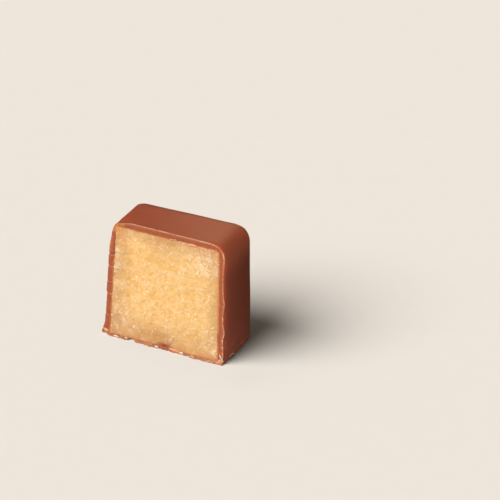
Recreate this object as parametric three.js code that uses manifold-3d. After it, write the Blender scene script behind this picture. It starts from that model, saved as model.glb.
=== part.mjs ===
// Half of a chocolate-coated marzipan cube, cut open so that its filling shows.
// Millimetres, +Z up. The cut faces -Y, and the origin is under the middle of the base.
import * as THREE from "three";
import { LoftGeometry } from "three/addons/geometries/LoftGeometry.js";
import { ImprovedNoise } from "three/addons/math/ImprovedNoise.js";
import { mergeGeometries, mergeVertices } from "three/addons/utils/BufferGeometryUtils.js";
import Module from "manifold-3d";

// Driving dimensions of the coat. Its sides are named as seen from the cut.
const WIDTH = 23; // along the cut, where the sides meet the foot
const DEPTH = 11.5; // from the cut to the back, half of the whole cube
const HEIGHT = 22.35;
const LEAN = { left: 0.066, right: 0, back: 0.042 }; // how far a side leans in for each mm of height

// The soft edges round the top: how far each one reaches over the top and down its side, and how
// square it is, where 2 is round.
const TOP_EDGE = {
  left: { over: 3.5, down: 9, square: 4 },
  right: { over: 3.4, down: 3.4, square: 2 },
  back: { over: 2.7, down: 2.7, square: 2 },
};
const MEETING_SIZE = { left: 0.55, back: 1.35 }; // of these two edges where they meet, against elsewhere
const TOP_EDGE_STEPS = 13;
const UPRIGHT_EDGE = { left: 2.2, right: 1.9 }; // radii of the two upright edges at the back
const SMALLEST_RADIUS = 1.5; // of an upright edge where the top has rounded most of it away
const SWELL = { depth: 0.12, length: 8 }; // slow unevenness of the poured sides

// The foot, where liquid chocolate ran down and set on the tray.
const FOOT_REACH = { left: 0.65, right: 0.06, back: 0.03 };
const FOOT = { height: 2.2, lip: 0.3, ripple: 0.6, ripple_length: 3.5 };
const FOOT_STEPS = 5;
const FOOT_CROWDING = 1.3; // above 1 the levels crowd towards the lip
const WALL_STEPS = 6; // from the foot to the top edge
const BARE_CORNER = 3; // the foot grows to its full reach this far from the cut on the right side
const LIFT = { rise: 0.6, length: 6 }; // the right corner at the back stands clear of the table
const CONTACT = 0.85; // the flat patch under the base, as a share of the base

// The filling and the coat's thickness over it.
const COAT = { left: 1.1, right: 1.2, back: 1.1, top: 1, base: 0.55 };
const FILLING_EDGE = 0.5; // the filling's own edges are almost sharp
const GAP = 0.1; // between the filling and the coat, so that the two solids stay apart

// The knife's work: crumbs torn out of the filling, cracks and chips in the coat.
const CRUMBS = [
  { size: 2.4, depth: 0.1 },
  { size: 1.1, depth: 0.16 },
];
const CRUMB_STEP = 0.52; // spacing of the points that carry the crumbs
const FILLING_SET_BACK = 0.08; // the filling's mean surface behind the coat's cut edge
const CRACK_HEIGHTS = [4.3, 8.4, 13.65, 15.9]; // across the coat's left edge
const CRACK_DEPTH = 0.16;
const CHIPS = { size: 1.7, depth: 0.6 }; // broken out of the base along its cut edge, or left standing

const noise = new ImprovedNoise();
const SLICE = 0.5; // the noise is nothing at whole numbers, so flat slices are taken between them
const wasm = await Module();
wasm.setup();

// A closed geometry as a solid that can be cut and joined.
function solidOf(geometry) {
  const bare = new THREE.BufferGeometry();
  bare.setAttribute("position", geometry.getAttribute("position"));
  bare.setIndex(geometry.getIndex());
  const merged = mergeVertices(bare);
  return new wasm.Manifold(
    new wasm.Mesh({
      numProp: 3,
      vertProperties: merged.getAttribute("position").array,
      triVerts: new Uint32Array(merged.getIndex().array),
    }),
  );
}

// A solid's faces as a geometry.
function geometryOf(solid) {
  const { vertProperties, triVerts } = solid.getMesh();
  const geometry = new THREE.BufferGeometry();
  geometry.setAttribute("position", new THREE.BufferAttribute(vertProperties, 3));
  geometry.setIndex(new THREE.BufferAttribute(triVerts, 1));
  geometry.computeVertexNormals();
  return geometry;
}

// How far a rounded top edge has drawn a side in at a height below the top.
function roundedIn({ over, down, square }, below_top) {
  const rise = THREE.MathUtils.clamp(1 - below_top / down, 0, 1);
  return over * (1 - (1 - rise ** square) ** (1 / square));
}

// Where the coat's sides stand at a height, before the foot and the swell.
function coatSides(z) {
  return {
    left: -WIDTH / 2 + LEAN.left * z,
    right: WIDTH / 2 - LEAN.right * z,
    back: DEPTH - LEAN.back * z,
  };
}

// One level section: along the cut, up the right side, round the back and down the left side.
// Each point also carries the way out of the block, for the foot and the swell.
function sectionPoints({ left, right, back, front }, radius_left, radius_right, steps) {
  const at = (x, y) => new THREE.Vector2(x, y);
  const line = (x0, y0, x1, y1) => new THREE.LineCurve(at(x0, y0), at(x1, y1));
  const arc = (x, r, from, to) => new THREE.EllipseCurve(x, back - r, r, r, from, to);
  const curves = [
    ["cut", line(left, front, right, front), steps.cut],
    ["side", line(right, front, right, back - radius_right), steps.side],
    ["side", arc(right - radius_right, radius_right, 0, Math.PI / 2), steps.corner],
    ["side", line(right - radius_right, back, left + radius_left, back), steps.back],
    ["side", arc(left + radius_left, radius_left, Math.PI / 2, Math.PI), steps.corner],
    ["side", line(left, back - radius_left, left, front), steps.side],
  ];
  return curves.flatMap(([kind, curve, count]) => {
    const first = kind === "cut" ? 1 : 0; // the two ends of the cut belong to the sides
    return Array.from({ length: count - first }, (_, i) => {
      const t = (i + first) / count;
      const tangent = curve.getTangent(t);
      return { kind, place: curve.getPoint(t), out: at(tangent.y, -tangent.x) };
    });
  }).concat({ kind: "side", place: at(left, front), out: at(-1, 0) });
}

// A closed block through level sections, from the lowest to the highest, with a fan over each end.
function blockThrough(sections) {
  const fan = (section) => {
    const middle = section.reduce((sum, p) => sum.add(p), new THREE.Vector3()).divideScalar(section.length);
    const corners = section.flatMap((p, i) => [middle, p, section[(i + 1) % section.length]]);
    return new THREE.BufferGeometry().setFromPoints(corners);
  };
  const walls = new LoftGeometry(sections).toNonIndexed();
  walls.deleteAttribute("uv");
  walls.deleteAttribute("normal");
  const block = mergeVertices(mergeGeometries([fan(sections[0].toReversed()), walls, fan(sections.at(-1))]));
  block.computeVertexNormals();
  return block;
}

// The foot's outline up the side: a thin upright lip, then a hollow curve into the wall.
function footProfile(z) {
  const up = THREE.MathUtils.clamp((z - FOOT.lip) / (FOOT.height - FOOT.lip), 0, 1);
  return (1 - up) ** 2;
}

// How far the foot stands out at a point of a section. A corner shares what its two sides do.
function footReach({ x, y }, out, z) {
  const start = THREE.MathUtils.smoothstep(y, 0, BARE_CORNER);
  const side = out.x < 0 ? FOOT_REACH.left : FOOT_REACH.right * start;
  const ripple = 1 + FOOT.ripple * noise.noise(x / FOOT.ripple_length, y / FOOT.ripple_length, SLICE);
  return (side * out.x ** 2 + FOOT_REACH.back * out.y ** 2) * footProfile(z) * ripple;
}

// A height of the foot, raised where the base stands clear of the table.
function liftedHeight({ x, y }, z) {
  const away = Math.hypot(x - WIDTH / 2, y - DEPTH);
  const lift = LIFT.rise * (1 - THREE.MathUtils.smoothstep(away, 0, LIFT.length));
  return z < FOOT.height ? THREE.MathUtils.lerp(lift, FOOT.height, z / FOOT.height) : z;
}

// How far the knife broke the thin base back from the cut.
function chipDepth(x, z) {
  return z < COAT.base ? CHIPS.depth * noise.noise(x / CHIPS.size, SLICE, SLICE + 2) : 0;
}

// The coat as one solid block, with a flat face where the knife went through.
function coatBlock() {
  const steps = { cut: 60, side: 14, corner: 6, back: 26 };
  const foot_levels = Array.from({ length: FOOT_STEPS + 1 }, (_, i) => {
    return FOOT.height * (i / FOOT_STEPS) ** FOOT_CROWDING;
  });
  const edge_height = Math.max(...Object.values(TOP_EDGE).map(({ down }) => down));
  const wall_levels = Array.from({ length: WALL_STEPS - 1 }, (_, i) => {
    return THREE.MathUtils.lerp(FOOT.height, HEIGHT - edge_height, (i + 1) / WALL_STEPS);
  });
  const top_levels = Array.from({ length: TOP_EDGE_STEPS + 1 }, (_, i) => {
    return HEIGHT - edge_height * (1 - Math.sin(((i / TOP_EDGE_STEPS) * Math.PI) / 2));
  });
  const sections = [...foot_levels, ...wall_levels, ...top_levels].map((z) => coatSection(z, steps));
  const middle = new THREE.Vector3(0, DEPTH / 2, 0);
  const contact = sections[0].map((p) => middle.clone().lerp(p, CONTACT).setZ(0));
  return solidOf(blockThrough([contact, ...sections]));
}

// The coat's outline at a height.
function coatSection(z, steps) {
  const sides = coatSides(z);
  const drawn = (side) => roundedIn(TOP_EDGE[side], HEIGHT - z);
  const shape = {
    left: sides.left + drawn("left"),
    right: sides.right - drawn("right"),
    back: sides.back - drawn("back"),
    front: 0,
  };
  const upright = (side) => Math.max(UPRIGHT_EDGE[side] - drawn("back"), SMALLEST_RADIUS);
  return sectionPoints(shape, upright("left"), upright("right"), steps).map(({ kind, place, out }) => {
    if (kind === "cut") return new THREE.Vector3(place.x, place.y + chipDepth(place.x, z), z);
    const foot = footReach(place, out, z);
    const swell = SWELL.depth * noise.noise(place.x / SWELL.length, place.y / SWELL.length, z / SWELL.length);
    const near_meeting = (0.5 - place.x / WIDTH) * (place.y / DEPTH);
    const moved = place.clone().addScaledVector(out, foot + swell);
    moved.x -= drawn("left") * (1 - MEETING_SIZE.left) * near_meeting;
    moved.y += drawn("back") * (1 - MEETING_SIZE.back) * near_meeting;
    return new THREE.Vector3(moved.x, moved.y, liftedHeight(moved, z));
  });
}

// The sides of the filling at a height, grown by a margin, with its almost sharp top edge.
function fillingSides(z, margin) {
  const sides = coatSides(z);
  const edge = { over: FILLING_EDGE, down: FILLING_EDGE, square: 2 };
  const drawn = roundedIn(edge, HEIGHT - COAT.top + margin - z);
  return {
    left: sides.left + COAT.left - margin + drawn,
    right: sides.right - COAT.right + margin - drawn,
    back: sides.back - COAT.back + margin - drawn,
  };
}

// The levels of a filling block, close together where its top edge turns.
function fillingLevels(margin, count) {
  const low = COAT.base - margin;
  const edge = HEIGHT - COAT.top + margin - FILLING_EDGE;
  const wall_levels = Array.from({ length: count + 1 }, (_, i) => THREE.MathUtils.lerp(low, edge, i / count));
  const edge_levels = [30, 60, 90].map((turn) => {
    return edge + FILLING_EDGE * Math.sin(THREE.MathUtils.degToRad(turn));
  });
  return [...wall_levels, ...edge_levels];
}

// The hollow inside the coat, carried past the cut.
function hollow() {
  const steps = { cut: 2, side: 2, corner: 4, back: 4 };
  const past_cut = 2;
  const sections = fillingLevels(GAP, 2).map((z) => {
    const shape = { ...fillingSides(z, GAP), front: -past_cut };
    return sectionPoints(shape, FILLING_EDGE, FILLING_EDGE, steps).map(({ place }) => {
      return new THREE.Vector3(place.x, place.y, z);
    });
  });
  return solidOf(blockThrough(sections));
}

// How far the knife tore the filling back at a point of the cut.
function tornDepth(x, z) {
  return CRUMBS.reduce((sum, { size, depth }, layer) => {
    return sum + depth * noise.noise(x / size, layer + SLICE, z / size);
  }, FILLING_SET_BACK);
}

// V-shaped cracks across the left edge of the coat's cut face.
function cracks() {
  const side = CRACK_DEPTH * Math.SQRT2;
  return CRACK_HEIGHTS.map((z) => {
    const crack = new THREE.BoxGeometry(2 * COAT.left, side, side);
    crack.rotateX(Math.PI / 4);
    crack.translate(coatSides(z).left + COAT.left / 2, 0, z);
    return solidOf(crack);
  });
}

// Milk chocolate: a hollow coat, open only at the cut.
function makeCoat() {
  const coat = [hollow(), ...cracks()].reduce((left, cut) => left.subtract(cut), coatBlock());
  const milk_chocolate = new THREE.MeshStandardMaterial({ color: "#8a4a35", roughness: 0.42, metalness: 0 });
  const mesh = new THREE.Mesh(geometryOf(coat), milk_chocolate);
  mesh.name = "chocolate_coat";
  return mesh;
}

// Marzipan: a solid core that runs through the coat and shows at the cut.
function makeFilling() {
  const steps = { cut: Math.round(WIDTH / CRUMB_STEP), side: 3, corner: 3, back: 8 };
  const sections = fillingLevels(0, Math.round(HEIGHT / CRUMB_STEP)).map((z) => {
    const shape = { ...fillingSides(z, 0), front: 0 };
    return sectionPoints(shape, FILLING_EDGE, FILLING_EDGE, steps).map(({ place }) => {
      const torn = place.y === shape.front ? tornDepth(place.x, z) : 0;
      return new THREE.Vector3(place.x, place.y + torn, z);
    });
  });
  const almond_paste = new THREE.MeshStandardMaterial({ color: "#f3c685", roughness: 0.75, metalness: 0 });
  const mesh = new THREE.Mesh(blockThrough(sections), almond_paste);
  mesh.name = "marzipan_filling";
  return mesh;
}

const praline = new THREE.Group();
praline.add(makeCoat(), makeFilling());

// The foot and the lean are uneven, so the middle of the base is measured.
const middle = new THREE.Box3().setFromObject(praline).getCenter(new THREE.Vector3());
praline.position.set(-middle.x, -middle.y, 0);

export default praline;
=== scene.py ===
# %% [markdown]
# # Half of a marzipan praline
# A cube of almond paste was drawn through liquid milk chocolate, set on a tray and later cut in half.
# This lesson dresses the two solids of that half, the thin coat and the core, with the marks that the
# pouring and the knife left on them. Both are made again as fine meshes of the same form and size.

# %% The shared frame
import math

import bmesh
import bpy
from mathutils import Matrix, Quaternion, Vector, noise


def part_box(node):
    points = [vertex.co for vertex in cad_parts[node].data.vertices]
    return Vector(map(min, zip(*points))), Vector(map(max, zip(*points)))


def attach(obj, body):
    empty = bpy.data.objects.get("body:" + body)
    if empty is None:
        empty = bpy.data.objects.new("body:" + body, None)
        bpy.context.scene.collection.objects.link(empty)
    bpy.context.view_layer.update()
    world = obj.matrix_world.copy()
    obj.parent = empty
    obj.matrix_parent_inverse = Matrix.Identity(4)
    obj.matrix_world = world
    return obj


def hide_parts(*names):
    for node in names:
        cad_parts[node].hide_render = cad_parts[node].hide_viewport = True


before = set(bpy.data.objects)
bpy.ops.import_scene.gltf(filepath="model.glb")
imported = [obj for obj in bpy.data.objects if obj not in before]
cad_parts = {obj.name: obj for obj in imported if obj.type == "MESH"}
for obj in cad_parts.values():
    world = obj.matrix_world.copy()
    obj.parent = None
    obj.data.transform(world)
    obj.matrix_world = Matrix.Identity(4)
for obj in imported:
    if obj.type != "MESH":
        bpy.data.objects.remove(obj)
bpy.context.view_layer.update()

print("solids in the frame:", sorted(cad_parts))

# %% [markdown]
# ## One set of sizes
# The frame is in metres and a praline is small, so the sizes below are in millimetres. Places are
# counted from the foot of the cut's middle: X runs along the cut, Y goes back from the knife's plane
# and Z is up. Where the solids already hold a size, it is read from them, so the two can't disagree.

# %% Sizes of the half, in millimetres
MM = 0.001
core_low, core_high = (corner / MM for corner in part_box("marzipan_filling"))
_, coat_high = (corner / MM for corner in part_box("chocolate_coat"))

WIDTH = 23.0
DEPTH = 11.5
HEIGHT = coat_high.z
LEAN = {"left": 0.066, "back": 0.042}  # how far a side leans in for each mm of height
COAT = {"right": 1.2, "back": 1.1, "base": core_low.z}  # how thick it is

cut_foot = Vector((
    core_high.x - (WIDTH / 2 - COAT["right"]),
    core_high.y - (DEPTH - LEAN["back"] * COAT["base"] - COAT["back"]),
    0,
))
to_frame = Matrix.Scale(MM, 4) @ Matrix.Translation(cut_foot)
print("foot of the cut's middle, in mm:", [round(c, 3) for c in cut_foot])

# %% [markdown]
# ## Colour and node helpers
# Colours are written as they look on a screen, in hex, and turned to the linear values that the
# renderer works in. One function adds any kind of node: what it is given for an input is linked if it
# is another node's output, and set as a value if not. It gives back the new node's output. Tones that
# follow the mesh are laid over one another, each by the attribute that says how strong it is.

# %% Colour and node helpers
def linear(hex_colour):
    channels = [int(hex_colour[i:i + 2], 16) / 255 for i in (1, 3, 5)]
    return [c / 12.92 if c <= 0.04045 else ((c + 0.055) / 1.055) ** 2.4 for c in channels] + [1.0]


def add_node(tree, kind, inputs, output=None, **settings):
    node = tree.nodes.new(kind)
    for name, value in settings.items():
        setattr(node, name, value)
    for name, value in inputs.items():
        socket = next(s for s in node.inputs if s.enabled and name in (s.name, s.identifier))
        if isinstance(value, bpy.types.NodeSocket):
            tree.links.new(value, socket)
        else:
            socket.default_value = value
    return next((s for s in node.outputs if s.enabled and output in (None, s.name)), None)


def add_tones(tree, colour, tones):
    """Lays tones over a colour, each as strong as the attribute that it is listed under."""
    for attribute, tone in tones.items():
        amount = add_node(tree, "ShaderNodeAttribute", {}, "Fac", attribute_name=attribute)
        colour = add_node(tree, "ShaderNodeMix", {
            "Factor": amount, "A": colour, "B": tone,
        }, data_type="RGBA")
    return colour


def new_material(name):
    """An empty node material and its tree."""
    material = bpy.data.materials.new(name)
    material.use_nodes = True
    material.node_tree.nodes.clear()
    return material, material.node_tree


def per_mm(size):
    """The texture scale, in a frame of metres, at which a pattern's features are this many mm wide."""
    return 1 / (size * MM)


print("white in linear values:", linear("#ffffff"))

# %% [markdown]
# ## Poured milk chocolate
# The coat set against air, so it is smooth with a satin gloss: fat gives it an index of about 1.46 and
# its skin scatters a broad, weak highlight. Light goes about a millimetre into it, which reddens
# every edge between light and shade. The colour drifts a little where the coat is thicker. A plain
# brown shader would look like plastic, so two attributes add to it: one paints a glow along the thin
# front edge of the right side, as of light coming through it, and "burr" marks the pale lip that the
# knife dragged up, whose pale tone is partly a painted highlight.

# %% Poured milk chocolate
FAT_INDEX = 1.46
# The burr tone is the lip's paler matt chocolate, and partly a painted highlight on its edge.
BURR_AND_HIGHLIGHT_TONE = "#eccb9c"
SKIN = {"drift": 9, "waves": 4, "wave_height": 0.05}  # in mm


def poured_chocolate():
    material, tree = new_material("milk chocolate, poured and set")
    coords = add_node(tree, "ShaderNodeTexCoord", {}, "Object")
    drift = add_node(tree, "ShaderNodeTexNoise", {
        "Vector": coords, "Scale": per_mm(SKIN["drift"]), "Detail": 2,
    })
    tone = add_node(tree, "ShaderNodeMix", {
        "Factor": drift, "A": linear("#96492f"), "B": linear("#9e5034"),
    }, data_type="RGBA")
    colour = add_tones(tree, tone, {"painted_glow": linear("#c06040"), "burr": linear(BURR_AND_HIGHLIGHT_TONE)})
    waves = add_node(tree, "ShaderNodeTexNoise", {
        "Vector": coords, "Scale": per_mm(SKIN["waves"]), "Detail": 3,
    })
    gloss = add_node(tree, "ShaderNodeMapRange", {"Value": waves, "To Min": 0.36, "To Max": 0.48})
    bump = add_node(tree, "ShaderNodeBump", {
        "Height": waves, "Strength": 0.15, "Distance": SKIN["wave_height"] * MM,
    })
    skin = add_node(tree, "ShaderNodeBsdfPrincipled", {
        "Base Color": colour,
        "Roughness": gloss,
        "Normal": bump,
        "IOR": FAT_INDEX,
        "Specular IOR Level": 0.26,
        "Subsurface Weight": 0.8,
        "Subsurface Radius": (1.0, 0.22, 0.1),
        "Subsurface Scale": 2.2 * MM,
    })
    add_node(tree, "ShaderNodeOutputMaterial", {"Surface": skin})
    return material


poured = poured_chocolate()
print("made", poured.name)

# %% [markdown]
# ## Knife-cut milk chocolate
# The knife smeared and broke the coat where it went through, so the cut is matt, lighter and redder
# than the skin. The attribute "across" runs from 0 at the outer edge of the cut to 1 at the marzipan:
# the edges are thin and let light through, so a colour ramp makes them more orange than the middle.

# %% Knife-cut milk chocolate
CUT = {"grain": 0.7, "grain_height": 0.08}  # in mm
CUT_RAGGED = 0.3  # how far the grain moves the tones across
CUT_TONES = [
    (0.15, "#b86c45"), (0.3, "#a05137"), (0.7, "#9a4f34"), (0.83, "#b56e3b"), (0.98, "#d68848"),
]


def cut_chocolate():
    material, tree = new_material("milk chocolate, cut with a knife")
    coords = add_node(tree, "ShaderNodeTexCoord", {}, "Object")
    across = add_node(tree, "ShaderNodeAttribute", {}, "Fac", attribute_name="across")
    grain = add_node(tree, "ShaderNodeTexNoise", {
        "Vector": coords, "Scale": per_mm(CUT["grain"]), "Detail": 4,
    })
    ragged = add_node(tree, "ShaderNodeMath", {
        "Value": grain, "Value_001": CUT_RAGGED,
    }, operation="MULTIPLY")
    uneven = add_node(tree, "ShaderNodeMath", {"Value": across, "Value_001": ragged}, operation="ADD")
    ramp = add_node(tree, "ShaderNodeValToRGB", {"Fac": uneven})
    elements = ramp.node.color_ramp.elements
    while len(elements) < len(CUT_TONES):
        elements.new(0.5)
    for element, (place, colour) in zip(elements, CUT_TONES):
        element.position = place
        element.color = linear(colour)
    smear = add_node(tree, "ShaderNodeMapRange", {
        "Value": grain, "From Min": 0.35, "From Max": 0.7, "To Min": 0.0, "To Max": 0.35,
    })
    streaked = add_node(tree, "ShaderNodeMix", {
        "Factor": smear, "A": ramp, "B": linear("#b06c42"),
    }, data_type="RGBA")
    bump = add_node(tree, "ShaderNodeBump", {
        "Height": grain, "Strength": 0.4, "Distance": CUT["grain_height"] * MM,
    })
    smeared = add_node(tree, "ShaderNodeBsdfPrincipled", {
        "Base Color": add_tones(tree, streaked, {"burr": linear(BURR_AND_HIGHLIGHT_TONE)}),
        "Normal": bump,
        "Roughness": 0.62,
        "IOR": FAT_INDEX,
        "Specular IOR Level": 0.3,
        "Subsurface Weight": 0.12,
        "Subsurface Radius": (1.0, 0.25, 0.1),
        "Subsurface Scale": 0.8 * MM,
    })
    add_node(tree, "ShaderNodeOutputMaterial", {"Surface": smeared})
    return material


cut = cut_chocolate()
print("made", cut.name)

# %% [markdown]
# ## Freshly cut marzipan
# Almond paste is matt and lets light in. Torn crumbs are full of tiny faces, so they look pale, and the
# hollows between them get a deeper gold, which is painted shade. Towards its border the paste is darker
# and browner and has taken up cocoa fat, the knife smudged some chocolate onto it, and dry places look
# chalky. A noise texture can't know where the coat or a crumb is, so these six tones are attributes of
# the mesh.

# %% Freshly cut marzipan
PASTE = {"grain": 0.45, "grain_height": 0.08}  # in mm
# The deeper gold of the hollows is painted shade.
PASTE_TONES = {
    "darker_towards_border": "#c09260",
    "hollow": "#dda044",
    "chalky": "#f2d8b8",
    "crumb": "#fff0d6",
    "soaked": "#d2864f",
    "smudged": "#8a3e2a",
}


def cut_marzipan():
    material, tree = new_material("marzipan, freshly cut almond paste")
    coords = add_node(tree, "ShaderNodeTexCoord", {}, "Object")
    fine = add_node(tree, "ShaderNodeTexNoise", {
        "Vector": coords, "Scale": per_mm(PASTE["grain"]), "Detail": 4,
    })
    mottled = add_node(tree, "ShaderNodeMapRange", {"Value": fine, "From Min": 0.2, "From Max": 0.8})
    almond = add_node(tree, "ShaderNodeMix", {
        "Factor": mottled, "A": linear("#dca557"), "B": linear("#f0c98d"),
    }, data_type="RGBA")
    tones = {attribute: linear(tone) for attribute, tone in PASTE_TONES.items()}
    bump = add_node(tree, "ShaderNodeBump", {
        "Height": fine, "Strength": 0.25, "Distance": PASTE["grain_height"] * MM,
    })
    paste = add_node(tree, "ShaderNodeBsdfPrincipled", {
        "Base Color": add_tones(tree, almond, tones),
        "Normal": bump,
        "Roughness": 0.7,
        "IOR": 1.45,
        "Specular IOR Level": 0.3,
        "Subsurface Weight": 0.15,
        "Subsurface Radius": (1.0, 0.6, 0.25),
        "Subsurface Scale": 0.7 * MM,
    })
    add_node(tree, "ShaderNodeOutputMaterial", {"Surface": paste})
    return material


marzipan = cut_marzipan()
print("made", marzipan.name)

# %% [markdown]
# ## Broken chocolate flakes
# Where the coat snapped instead of being cut, its fresh breaks are full of fine sugar and fat crystals.
# They scatter light near the surface, so a break looks far paler than the skin. The attribute "pale"
# says how much of a flake's face is such a break, and the other how strong a painted orange glow is,
# as of light coming through it. Real crystals are finer than these, which are as coarse as they need to
# show.

# %% Broken chocolate flakes
CRYSTALS = {"size": 0.25, "height": 0.05}  # in mm


# The orange tone is a painted glow, as of light coming through a thin flake.
def broken_chocolate():
    material, tree = new_material("milk chocolate, snapped flakes")
    coords = add_node(tree, "ShaderNodeTexCoord", {}, "Object")
    crystals = add_node(tree, "ShaderNodeTexNoise", {
        "Vector": coords, "Scale": per_mm(CRYSTALS["size"]), "Detail": 4,
    })
    face = add_node(tree, "ShaderNodeMix", {
        "Factor": crystals, "A": linear("#dcae8c"), "B": linear("#f3d6bd"),
    }, data_type="RGBA")
    tones = {"pale": face, "painted_flake_glow": linear("#e39a68")}
    bump = add_node(tree, "ShaderNodeBump", {
        "Height": crystals, "Strength": 0.5, "Distance": CRYSTALS["height"] * MM,
    })
    fresh_break = add_node(tree, "ShaderNodeBsdfPrincipled", {
        "Base Color": add_tones(tree, linear("#b8683f"), tones),
        "Normal": bump,
        "Roughness": 0.7,
        "IOR": FAT_INDEX,
        "Specular IOR Level": 0.2,
    })
    add_node(tree, "ShaderNodeOutputMaterial", {"Surface": fresh_break})
    return material


snapped = broken_chocolate()
print("made", snapped.name)

# %% [markdown]
# ## The form of the coat
# The coat could be carved out of a bevelled cube, but its edges all differ: the left one sags far down
# its side, the right one is round, the foot spread on the tray. So its outline is worked out height by
# height, and a gridded box is later wrapped onto it. Nearly the same rules shape the solid.

# %% Small helpers for numbers
def mix(a, b, share):
    """The number that lies a share of the way from a to b."""
    return a + (b - a) * share


def clamp(value, low=0, high=1):
    """The number from low to high that is nearest to a value."""
    return min(max(value, low), high)


def ease(value, start, stop):
    """0 before start, 1 after stop, and a soft rise between them."""
    share = clamp((value - start) / (stop - start))
    return share * share * (3 - 2 * share)


def bell(distance, half_length):
    """1 in the middle and small beyond the half length."""
    return math.exp(-(distance / half_length) ** 2 * 2)


def spaced(start, stop, step):
    """Evenly spaced numbers from start up to stop, without stop itself."""
    count = max(1, round((stop - start) / step))
    return [mix(start, stop, i / count) for i in range(count)]


print("a soft rise, a quarter of the way:", ease(0.25, 0, 1))

# %% Sides and soft edges of the coat
TOP_EDGE = {  # how far each edge rounds over the top and down its side, and how square its curve is
    "left": {"over": 3.5, "down": 9.0, "square": 4},
    "right": {"over": 3.4, "down": 3.4, "square": 2},
    "back": {"over": 2.7, "down": 2.7, "square": 2},
}
UPRIGHT_EDGE = {"left": 2.2, "right": 1.9}  # radii of the two edges at the back
SMALLEST_RADIUS = 1.4
MEETING_SIZE = {"left": 0.55, "back": 1.8}  # how the left and back edges' curves change where they meet


def rounded_in(edge, below_top):
    """How far a rounded top edge has drawn its side in at a height below the top."""
    rise = clamp(1 - below_top / edge["down"])
    return edge["over"] * (1 - (1 - rise ** edge["square"]) ** (1 / edge["square"]))


def section_at(z):
    """Where the sides stand at a height, with the soft top edges drawn in."""
    drawn = {side: rounded_in(edge, HEIGHT - z) for side, edge in TOP_EDGE.items()}
    return {
        "left": -WIDTH / 2 + LEAN["left"] * z + drawn["left"],
        "right": WIDTH / 2 - drawn["right"],
        "back": DEPTH - LEAN["back"] * z - drawn["back"],
        "drawn": drawn,
        "radius": {side: max(r - drawn["back"], SMALLEST_RADIUS) for side, r in UPRIGHT_EDGE.items()},
    }


def round_upright_edge(place, section):
    """Turns a square corner at the back into a quarter circle, and gives the way out there."""
    for side, inward in (("left", 1), ("right", -1)):
        radius = section["radius"][side]
        middle = Vector((section[side] + inward * radius, section["back"] - radius))
        reach = place - middle
        if reach.x * inward < 0 < reach.y:
            way_out = reach.normalized()
            return middle + way_out * max(abs(reach.x), reach.y), way_out
    return place, None


print("back wall at half height:", round(section_at(HEIGHT / 2)["back"], 2), "mm behind the cut")

# %% Foot, lifted corner and swell
FOOT_REACH = {"left": 0.42, "right": 0.1, "back": 0.03}
FOOT = {"height": 2.6, "lip": 0.6, "curve": 1.35, "ripple": 0.6, "ripple_length": 3.5}
BARE_CORNER = 3.0  # behind the cut, the right side's foot takes this long to come out
LIFT = {"rise": 0.6, "length": 6.0}
SWELL = {"depth": 0.12, "length": 8.0}
CREASE = {"height": 1.25, "half_width": 0.3, "depth": 0.12, "start": (0.5, 2.5)}


def foot_reach(place, way_out, z):
    """How far the foot stands out of a side where the chocolate spread on the tray."""
    up = clamp((z - FOOT["lip"]) / (FOOT["height"] - FOOT["lip"]))
    right = FOOT_REACH["right"] * ease(place.y, 0, BARE_CORNER)
    side = FOOT_REACH["left"] if way_out.x < 0 else right
    reach = side * way_out.x ** 2 + FOOT_REACH["back"] * way_out.y ** 2
    ripple = 1 + FOOT["ripple"] * noise.noise(place.to_3d() / FOOT["ripple_length"])
    return reach * (1 - up) ** FOOT["curve"] * ripple


def lifted(place, z, share=1.0):
    """A height, raised near the back right corner, where the base stands clear of the table."""
    away = (place - Vector((WIDTH / 2, DEPTH))).length
    lift = LIFT["rise"] * (1 - ease(away, 0, LIFT["length"])) * share
    return mix(lift, FOOT["height"], z / FOOT["height"]) if z < FOOT["height"] else z


def swell(place, z):
    """The slight unevenness of a side that ran down and set."""
    return SWELL["depth"] * noise.noise(Vector((place.x, place.y, z)) / SWELL["length"])


def crease(place, way_out, z):
    """How deep the line lies above the right side's base, where the coat ran down on the tray."""
    if way_out.x <= 0:
        return 0
    line = CREASE["depth"] * bell(z - CREASE["height"], CREASE["half_width"])
    return line * ease(place.y, *CREASE["start"])


print("the foot reaches", FOOT_REACH["left"], "mm out on the left")

# %% [markdown]
# ## Grid lines for the coat
# A finely subdivided cube would spend its faces evenly. Here the lines of the grid lie close together
# where something happens: beside the cut, at the cracks across its left edge, up the foot and round
# the soft edges. A rounded edge gets its heights from even turns round its curve.

# %% Grid lines of the coat
FINE_STEP = 0.13
COLUMNS = round(WIDTH / FINE_STEP)
FRONT_ROWS = [0, 0.05, 0.1, 0.16, 0.24, 0.35, 0.5]
MIDDLE_ROWS = {"start": 0.7, "stop": 9, "step": 0.4}
BACK_STEP = 0.25
EDGE_TURNS = 20
CRACKS = {4.0: 0.05, 8.2: 0.08, 10.5: 0.04, 13.5: 0.14, 15.7: 0.3}  # heights and depths, on the left
CRACK_LINES = [-0.18, -0.11, -0.06, -0.02, 0.02, 0.06, 0.11, 0.18]
CLOSEST = 0.012


def edge_levels(edge):
    turns = [math.pi / 2 * i / EDGE_TURNS for i in range(EDGE_TURNS + 1)]
    return [HEIGHT - edge["down"] * (1 - math.sin(turn) ** (2 / edge["square"])) for turn in turns]


cracked = [crack + line for crack in CRACKS for line in CRACK_LINES]
even = [
    level for level in spaced(0, HEIGHT - TOP_EDGE["right"]["down"], FINE_STEP)
    if min(abs(level - crack) for crack in CRACKS) > CRACK_LINES[-1] + CLOSEST
]
turned = [level for edge in TOP_EDGE.values() for level in edge_levels(edge)]
levels = [0]
for level in sorted(cracked + even + turned):
    if level - levels[-1] > CLOSEST:
        levels.append(level)
levels[-1] = HEIGHT
rows = FRONT_ROWS + spaced(**MIDDLE_ROWS) + spaced(MIDDLE_ROWS["stop"], DEPTH, BACK_STEP) + [DEPTH]
LINES = (COLUMNS, len(rows) - 1, len(levels) - 1)
print(f"{COLUMNS} columns, {len(rows)} rows and {len(levels)} levels")

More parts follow.
